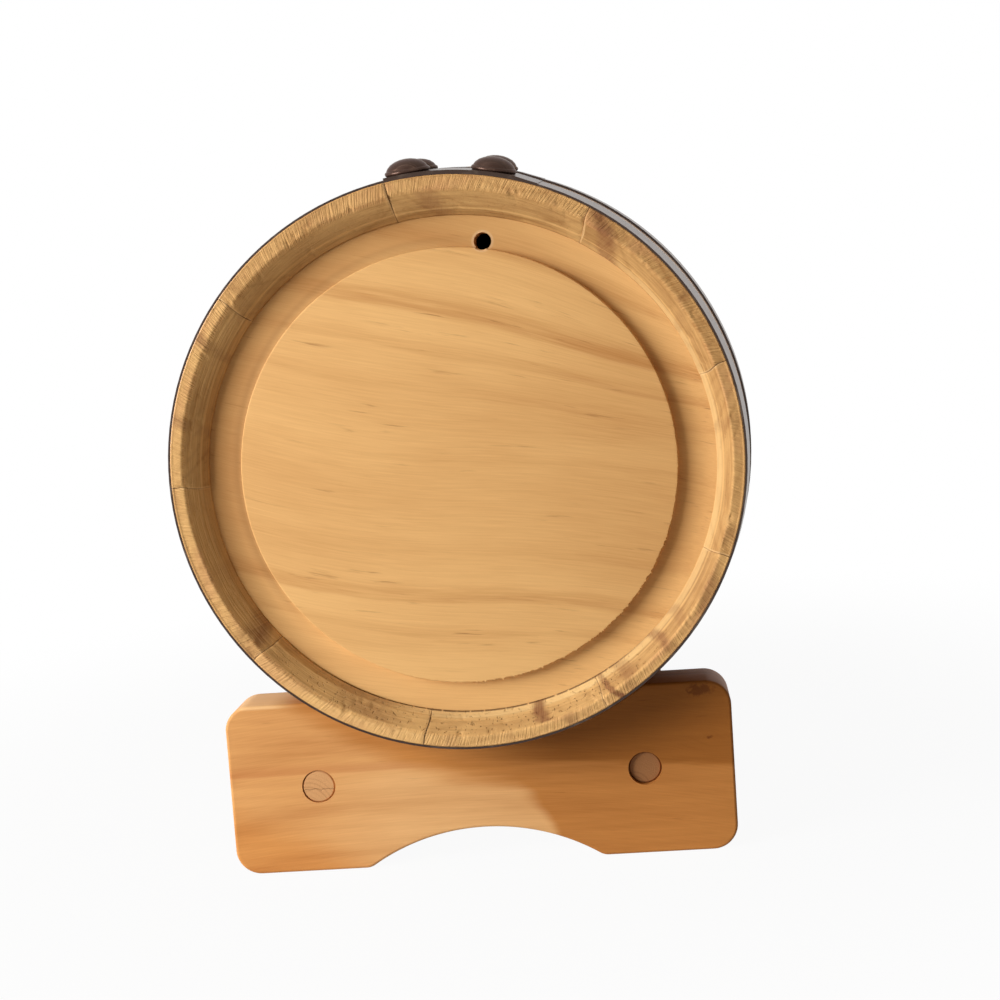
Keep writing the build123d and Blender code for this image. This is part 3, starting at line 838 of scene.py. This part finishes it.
# %% Heads
vent_profile = [(-14, 0), (-14, 2.5), (-0.5, 2.5), (-0.15, 2.75), (0.3, 3.2), (0.3, 0)]
tap_profile = [(-13, 0), (-13, 6.1), (1, 6.1), (1, 0)]
tap_place = Vector((0, 0, -52 * MM))
for node, way, hole, profile, steps, place in (
    ("rear_head", 1, "vent", vent_profile, 48, vent_place),
    ("front_head", -1, "tap_hole", tap_profile, 64, tap_place),
):
    piece = placed(f"{node}_turned", head_mesh(node, way))
    face_middle = centre + Vector((0, way * head_face, 0))
    cut(piece, turned_mesh(hole, profile, steps, face_middle + place, (0, way, 0)))
    paint(piece, head_pine)
    stands_for(piece, "cask", "head_wood", node)

# %% [markdown]
# ## Stand boards
#
# Each board is a flat outline with sawn and sanded edges. A flat curve gives that directly: it
# fills the outline, its extrusion is the thickness, and its bevel rounds the edges.

# %% Board outline
board_height = span("rear_board", 2)[1]
board_thickness = span("rear_board", 1)[1] - span("rear_board", 1)[0]
board_shift = sum(span("rear_board", 0)) / 2
saddle_radius = outside(span("rear_board", 1)[0] - cask_middle) + 0.3 * MM
corner_radius = 7.6 * MM
arch_chord, arch_rise, arch_fillet = 71 * MM, 10.8 * MM, 5 * MM
saddle_tip = 2.2 * MM
edge_round = 0.9 * MM


def arc_points(middle, radius, start, end, count=12):
    """Points on an arc, from one angle to another in degrees."""
    turns = [radians(start + (end - start) * k / count) for k in range(count + 1)]
    return [(middle[0] + radius * cos(t), middle[1] + radius * sin(t)) for t in turns]


def shoulder(width, side):
    """Points from a board's end over its top to the saddle, and the saddle's angle there.

    side is 1 or -1. A narrow board has no flat top left: there the saddle runs into the corner.
    """
    corner = board_shift * side + width / 2 - corner_radius, board_height - corner_radius
    tip_height = board_height - saddle_tip
    tip = sqrt((saddle_radius + saddle_tip) ** 2 - (axis_height - tip_height) ** 2)
    if tip < corner[0]:
        start = -degrees(atan2(axis_height - tip_height, tip))
        points = arc_points(corner, corner_radius, 0, 90)
        points += arc_points((tip, tip_height), saddle_tip, 90, 180 + start, 6)
    else:
        away = dist(corner, (0, axis_height))
        near = (saddle_radius**2 + away**2 - corner_radius**2) / (2 * saddle_radius * away)
        meet = atan2(corner[1] - axis_height, corner[0]) + acos(near)
        high = axis_height + saddle_radius * sin(meet) - corner[1]
        end = atan2(high, saddle_radius * cos(meet) - corner[0])
        points = arc_points(corner, corner_radius, 0, degrees(end))
        start = degrees(meet)
    return [(side * x, z) for x, z in points], start


def board_outline(width):
    """Outline of a board, anticlockwise from its lower right corner."""
    arch_radius = ((arch_chord / 2) ** 2 + arch_rise**2) / (2 * arch_rise)
    arch_middle = arch_rise - arch_radius
    foot = sqrt((arch_radius + arch_fillet) ** 2 - (arch_fillet - arch_middle) ** 2)
    lean = degrees(atan2(arch_fillet - arch_middle, foot))
    right = board_shift + width / 2 - corner_radius
    left = board_shift - width / 2 + corner_radius
    right_shoulder, right_start = shoulder(width, 1)
    left_shoulder, left_start = shoulder(width, -1)
    points = arc_points((right, corner_radius), corner_radius, -90, 0) + right_shoulder[1:]
    points += arc_points((0, axis_height), saddle_radius, right_start, -180 - left_start, 80)[1:]
    points += left_shoulder[-2::-1]
    points += arc_points((left, corner_radius), corner_radius, 180, 270)
    points += arc_points((board_shift - foot, arch_fillet), arch_fillet, -90, -lean, 8)
    points += arc_points((board_shift, arch_middle), arch_radius, 180 - lean, lean, 40)
    points += arc_points((board_shift + foot, arch_fillet), arch_fillet, lean - 180, -90, 8)
    return points


# %% Boards
def board_piece(name, width, low, high):
    """A board between two places along the cask, with rounded edges."""
    flat = bpy.data.curves.new(name, "CURVE")
    flat.dimensions = "2D"
    flat.fill_mode = "BOTH"
    flat.extrude = (high - low) / 2 - edge_round
    flat.bevel_depth = edge_round
    flat.bevel_resolution = 3
    flat.offset = -edge_round
    spline = flat.splines.new("POLY")
    points = board_outline(width)
    spline.points.add(len(points) - 1)
    for point, (x, z) in zip(spline.points, points):
        point.co = (x, z, 0, 1)
    spline.use_cyclic_u = True
    piece = placed(name, flat)
    bpy.context.view_layer.update()
    mesh = evaluated_mesh(piece)
    bpy.data.objects.remove(piece)
    upright = Matrix.Rotation(radians(90), 4, "X")
    mesh.transform(Matrix.Translation((0, (low + high) / 2, 0)) @ upright)
    piece = placed(name, mesh)
    bake(piece)
    return piece


# %% [markdown]
# The boards are redder than the heads, and lacquered. The heart of the tree ran through their
# left half, seen from the front, so that half is darker, with a knot or two near its corner. Its
# darker heartwood also stands in for the cask's shadow, and a painted shadow of the cask lies over
# it.

# %% Board finish
def board_finish(name, seed):
    """Orange pine with darker heartwood on one half, a painted shadow of the cask over it, and two
    knots.
    """
    f = Finish(name, IOR=1.45, Coat_Roughness=0.25, Specular_IOR_Level=0.1)
    x, y, z = f.place()
    bow = z - x * 0.03 + (x * x) * 1.1
    knots = ((-65.5 * MM, 49.6 * MM, 1.9 * MM), (-67.6 * MM, 34.9 * MM, 0.55 * MM))
    spots = 0
    for knot_x, knot_z, size in knots:
        near_x, near_z = x - knot_x, z - knot_z
        away = (near_x * near_x * 0.25 + near_z * near_z) ** 0.5
        bow = bow + near_z * f.ramp(away, 7 * MM, 0) * -0.9
        torn = (f.noise(x * 700, z * 700, size * 5000, rough=0.5) - 0.5) * size
        spots = f.ramp(away + torn * 2.6, size * 1.2, size * 0.3) + spots
    rings, fibres, drift = softwood(f, x, bow, y, 5.2 * MM, (0.075, 0.045), seed, 20 * MM)
    marks = flecks(f, x, z, y, seed, 0.71)
    streaky = f.noise(x * 16, z * 480, y * 100 + seed)
    tones = rings * 0.24 + fibres * 0.5 + drift * 0.6 + streaky * 0.55 - 0.655

    # where the heartwood lies, which also stands in for the cask's shadow, the painted shadow of
    # the cask over its upper part, and the paler and redder parts of the sapwood
    edge = (f.noise(x * 22, z * 260, y * 40) - 0.5) * (7 * MM)
    left, right = (x + 8 * MM).least(0), x.most(0)
    sapwood_top = 24 * MM + x * 0.2 + right * right * 4.5 - left * left * 90
    heart = f.ramp(z + edge - sapwood_top, -4 * MM, 5 * MM)
    painted_cask_shadow = f.ramp(z + edge * 0.5 - x * 0.08, 31 * MM, 33 * MM) * f.ramp(x, 12 * MM, -28 * MM)
    foot = f.ramp(x * 0.5 - z + edge, 12 * MM, 26 * MM)
    line = f.noise(x * 16, 3, 3, detail=2, rough=0.5) - 0.5
    line = line * (2.5 * MM) + z - 30.6 * MM
    late = f.ramp(line, -0.8 * MM, 0) * f.ramp(line, 4 * MM, 0.2 * MM)
    late = late * f.ramp(x, 12 * MM, 26 * MM)
    pale = f.ramp(x, 64 * MM, 22 * MM) * f.ramp(z, 38 * MM, 24 * MM)
    # painted light on the top face, on the side towards the window
    top = f.ramp(z, board_height - 1.4 * MM, board_height - 0.5 * MM)
    top = top * f.ramp(x, -10 * MM, 20 * MM)

    sap = f.layered(
        f.mix(tones, (228, 168, 104), (180, 112, 58)),
        (pale * 0.7, f.mix(tones, (244, 194, 134), (200, 138, 80))),
        (late * 0.35, (186, 108, 60)),
        (top * 0.6, (250, 208, 150)),
        (foot * 0.8, f.mix(tones, (222, 152, 82), (172, 100, 44))),
    )
    # heartwood, darkened over its upper part by the painted shadow of the cask
    heartwood_and_shadow = f.mix(tones, (206, 138, 72), (156, 92, 40))
    heartwood_and_shadow = f.mix(painted_cask_shadow, heartwood_and_shadow, f.mix(tones, (176, 110, 48), (128, 74, 28)))
    blots = (spots.least(1) * 0.6, (96, 42, 12)), (marks * 0.7, (120, 66, 26))
    colour = f.layered(sap, (heart, heartwood_and_shadow), *blots)
    height = (1 - rings) * 0.4 + fibres * 0.3 - marks * 0.5
    gloss = 0.42 + fibres * 0.12
    return f.shade(colour, gloss, height, 0.1 * MM, Coat_Weight=0.05 - marks * 0.05)


# %% Boards and dowel holes
hole_radius, past = 5.06, 2
for seed, node in enumerate(("rear_board", "front_board")):
    low, high = span(node, 1)
    left, right = span(node, 0)
    piece = board_piece(f"{node}_sanded", right - left, low, high)
    reach = (high - low) / MM + past
    bore = [(-past, 0), (-past, hole_radius), (reach, hole_radius), (reach, 0)]
    for dowel in ("left_dowel", "right_dowel"):
        place = Vector((sum(span(dowel, 0)) / 2, low, sum(span(dowel, 2)) / 2))
        cut(piece, turned_mesh(f"{dowel}_hole", bore, 64, place, (0, 1, 0)))
    paint(piece, board_finish(f"{node}_pine", 11 + 5 * seed))
    stands_for(piece, "stand", "stand_wood", node)

# %% [markdown]
# ## Dowels
#
# A dowel is plain rod, and only its sawn end shows. The CAD shape is right, so it gets a
# finish: fine rings round the rod's heart, with pores as dots. A split crosses one end. The
# left dowel is darker, as painted shade.

# %% Dowel finish


def dowel_finish(node, seed, split, light, dark):
    """End grain of a rod, whose split is a thin dark line across it."""
    f = Finish(f"{node}_end", IOR=1.45, Specular_IOR_Level=0.25)
    x, y, z = f.place()
    near_x, near_z = x - sum(span(node, 0)) / 2, z - sum(span(node, 2)) / 2
    rings, _, drift = softwood(f, y, near_x, near_z, 1.3 * MM, (0.004, 0.007), seed, 5 * MM)
    pores = f.noise(x * 2600 + seed, z * 2600, y * 80, detail=2)
    wave = f.noise(near_x * 500 + seed, 0, 0, detail=2, rough=0.5) - 0.5
    line = f.ramp((near_z + 0.9 * MM + wave * 2.2 * MM).size(), 0.22 * MM, 0.05 * MM) * split
    rim = f.ramp(length(near_x, near_z), 4.4 * MM, 5 * MM)
    tones = rings * 0.35 + pores * 0.45 + drift * 0.3 - 0.25 + rim * 0.35
    colour = f.layered(f.mix(tones, light, dark), (line * pores * 0.45, (120, 74, 40)))
    return f.shade(colour, 0.6, pores * 0.6 - line + 0.4, 0.15 * MM)


# the left dowel's darker colours are painted shade
pale_wood, painted_shade_wood = ((218, 164, 110), (160, 106, 62)), ((168, 116, 72), (106, 66, 38))
paint("left_dowel", dowel_finish("left_dowel", 2, 0, *painted_shade_wood))
paint("right_dowel", dowel_finish("right_dowel", 6, 1, *pale_wood))

# %% [markdown]
# ## Hoops and rivets
#
# The hoops are thin steel strip with a dark bronzed coat. Their CAD shape is right. The coat is
# browner where it is thick and lets grey steel through along scratches. The rivets are pressed
# domes with a rolled lip, and they repeat, so one turned dome is instanced on its eight seats.

# %% Bronzed finish


def bronzed(name, base, worn, gloss, coat, seed):
    """Dark brown coat over steel, worn in fine scratches and soft patches."""
    f = Finish(name, IOR=1.5, Coat_Roughness=0.14, Specular_Tint=linear((190, 164, 140)))
    x, y, z = f.place()
    patches = f.noise(x * 160 + seed, y * 160, z * 160)
    grit = f.noise(x * 1400, y * 1400 + seed, z * 1400, detail=2)
    scratch = f.noise(x * 60 + seed, y * 3000, z * 60, detail=2, rough=0.5)
    wear = f.ramp(patches, 0.52, 0.72) * 0.5 + f.ramp(scratch, 0.62, 0.72) * 0.5
    rough = gloss + patches * 0.14 + grit * 0.1
    height, metal = grit * 0.7 + patches * 0.3, 0.55 + wear * 0.3
    colour = f.mix(wear, base, worn)
    return f.shade(colour, rough, height, 0.04 * MM, Coat_Weight=coat, Metallic=metal)


hoop_coat = bronzed("hoop_coat", (58, 42, 34), (104, 88, 76), 0.28, 0.4, 1)
rivet_coat = bronzed("rivet_coat", (66, 46, 38), (112, 88, 74), 0.22, 0.12, 8)
hoop_names = [f"{end}_{kind}_hoop" for end in ("rear", "front") for kind in ("head", "quarter")]
for node in hoop_names:
    paint(node, hoop_coat)

# %% Rivet seats
rivet_sink = 0.3 * MM


def rivet_seats(node):
    """Top of each of the two domes of a node, with the direction that it faces."""
    points = [vertex.co.copy() for vertex in nodes[node].data.vertices]
    between = sum(span(node, 0)) / 2
    along = sum(span(node, 1)) / 2
    seats = []
    for way in (1, -1):
        half = [p for p in points if way * (p.x - between) > 0]
        middle = sum(half, Vector()) / len(half)
        out = Vector((middle.x, 0, middle.z - axis_height)).normalized()
        slope = (middle.y - cask_middle) * 2 * (bilge_radius - rim_radius) / half_length**2
        lean = asin(slope)
        facing = out * cos(lean) + Vector((0, sin(lean), 0))
        top = max(half, key=lambda p: (p - centre).dot(facing))
        foot = Vector((middle.x, along, middle.z))
        seats.append((foot + facing * ((top - foot).dot(facing) - rivet_sink), facing))
    return seats


# %% Rivet recipe
rivet_profile = [(0, 0), (-0.12, 1.6), (-0.5, 3.1), (-1.15, 4.5), (-2, 5.45), (-2.62, 5.86)]
rivet_profile += [(-2.85, 5.92), (-2.98, 6.18), (-3.2, 6.42), (-3.55, 6.5), (-3.9, 6.42)]
rivet_profile += [(-4.15, 6.2), (-4.27, 5.9), (-4.3, 5.5), (-4.3, 0.95), (-5.4, 0.95), (-5.4, 0)]
dome = turned_mesh("dome", rivet_profile, 48, Vector())
dome_holder = bpy.data.objects.new("dome", dome)
for polygon in dome.polygons:
    polygon.use_smooth = True
rivet_recipe = Recipe("rivets", {"Dome": "Object", "Material": "Material"})
r = rivet_recipe
kind = {"data_type": "FLOAT_VECTOR"}
facing = r.node("GeometryNodeInputNamedAttribute", kind, {"Name": "facing"})
turn = r.node("FunctionNodeAlignRotationToVector", {"axis": "Z"}, {"Vector": facing})
one = r.node("GeometryNodeObjectInfo", sockets={"Object": r.given("Dome")}, out="Geometry")
seats = r.node("GeometryNodeMeshToPoints", sockets={"Mesh": r.given("Geometry")})
instances = {"Points": seats, "Instance": one, "Rotation": turn}
r.result(r.node("GeometryNodeInstanceOnPoints", sockets=instances))

# %% Rivets
rivet_nodes = [f"{hoop}_rivets" for hoop in hoop_names]
seat_list = [seat for node in rivet_nodes for seat in rivet_seats(node)]
seat_mesh = bpy.data.meshes.new("rivet_seats")
seat_mesh.from_pydata([place for place, _ in seat_list], [], [])
directions = seat_mesh.attributes.new("facing", "FLOAT_VECTOR", "POINT")
for item, (_, direction) in zip(directions.data, seat_list):
    item.vector = direction
rivets = rivet_recipe.make("rivets", seat_mesh, {"Dome": dome_holder, "Material": rivet_coat})
stands_for(rivets, "cask", "rivet_bronze", *rivet_nodes)

# %% [markdown]
# ## Tap, bung and gaskets
#
# These keep their CAD shapes. Brass shows darker tarnish in soft clouds, with fine specks in
# its roughness. The bung is turned softwood, and the gaskets are black rubber.

# %% Brass, rubber and bung


def brass_finish():
    """Aged brass: bright where it is handled, browner in clouds of tarnish."""
    f = Finish("aged_brass", Metallic=1, IOR=1.5)
    x, y, z = f.place()
    clouds = f.noise(x * 220, y * 220, z * 220, detail=4)
    fine = f.noise(x * 1800, y * 1800, z * 1800, detail=2)
    tarnish = f.ramp(clouds, 0.46, 0.72)
    spots = f.ramp(fine, 0.66, 0.78)
    colour = f.mix(tarnish * 0.75, (214, 170, 92), (136, 96, 50))
    colour = f.mix(spots * 0.5, colour, (92, 62, 34))
    gloss = 0.22 + tarnish * 0.22 + fine * 0.08
    return f.shade(colour, gloss, fine * 0.5 + clouds * 0.5, 0.03 * MM)


def rubber_finish():
    """Black rubber with a dusty bloom."""
    f = Finish("gasket_rubber")
    x, y, z = f.place()
    bloom = f.noise(x * 500, y * 500, z * 500)
    colour = f.mix(f.ramp(bloom, 0.4, 0.75), (30, 29, 28), (58, 55, 52))
    return f.shade(colour, 0.65 + bloom * 0.2, bloom, 0.05 * MM)


def bung_finish():
    """Turned softwood: its grain runs up, and its flat top shows rings."""
    f = Finish("bung_wood", IOR=1.45, Specular_IOR_Level=0.25)
    x, y, z = f.place()
    rings, fibres, drift = softwood(f, z, x, y - cask_middle, 2.2 * MM, (0.006, 0.016), 3, 6 * MM)
    marks = flecks(f, z, x, y, 2)
    tones = rings * 0.5 + fibres * 0.3 + drift * 0.4 - 0.22
    colour = f.mix(tones, (218, 170, 112), (158, 106, 58))
    colour = f.mix(marks * 0.6, colour, (110, 66, 32))
    return f.shade(colour, 0.58, fibres * 0.5 + (1 - rings) * 0.5, 0.1 * MM)


brass_nodes = ("tap_body", "stop_pin", "lock_nut", "tap_plug", "tap_handle", "cap_nut")
brass_nodes += ("plug_washer", "plug_nut")
rubber_nodes = ("outer_gasket", "inner_gasket")
looks = (brass_finish(), brass_nodes), (rubber_finish(), rubber_nodes), (bung_finish(), ("bung",))
for material, names in looks:
    for node in names:
        paint(node, material)

# %% [markdown]
# ## Surroundings
#
# The camera and the reflections see a white world, which a Light Path node tells apart. As a
# lamp the world is dim and warm, like light that comes off other wood. The floor is white paper
# that glows for the camera, a little less near the object, where its faint shadows lie.

# %% World


def seen_by(tree, *rays):
    """1 for the named kinds of rays, and 0 for the others."""
    first, *others = [tree.node("ShaderNodeLightPath", out=f"Is {ray} Ray") for ray in rays]
    for other in others:
        first = first.most(other)
    return first


world = bpy.data.worlds.new("world")
scene.world = world
world.use_nodes = True
ambient, ambient_colour = 0.11, (255, 226, 190)
sky = Tree(world.node_tree)
seen = seen_by(sky, "Camera", "Glossy", "Transmission")
background = world.node_tree.nodes["Background"].inputs
link(sky.tree, background["Strength"], ambient + seen * (1 - ambient))
link(sky.tree, background["Color"], sky.mix(seen, ambient_colour, (255, 255, 255)))

# %% Floor
near_edge, far_edge, near_glow = 0.12, 0.4, 0.945


def floor_finish():
    """White paper. The camera sees it brighter than it is, with the shadows still on it."""
    f = Finish("floor_paper", Base_Color=(0.55, 0.55, 0.55, 1), Roughness=0.9)
    x, y, _ = f.place()
    amount = seen_by(f, "Camera", "Glossy")
    amount = amount * f.ramp(length(x, y), near_edge, far_edge, near_glow, 1)
    glow = f.node("ShaderNodeEmission", sockets={"Color": (1, 1, 1, 1), "Strength": 1})
    paper = Value(f.tree, f.shader.outputs[0])
    both = f.node("ShaderNodeMixShader", sockets={0: amount, 1: paper, 2: glow})
    link(f.tree, f.tree.nodes["Material Output"].inputs["Surface"], both)
    return f.material


reach = 6
corners = [(-reach, -reach, 0), (reach, -reach, 0), (reach, reach, 0), (-reach, reach, 0)]
floor_mesh = bpy.data.meshes.new("floor")
floor_mesh.from_pydata(corners, [], [(0, 1, 2, 3)])
floor_mesh.materials.append(floor_finish())
floor = placed("floor", floor_mesh)
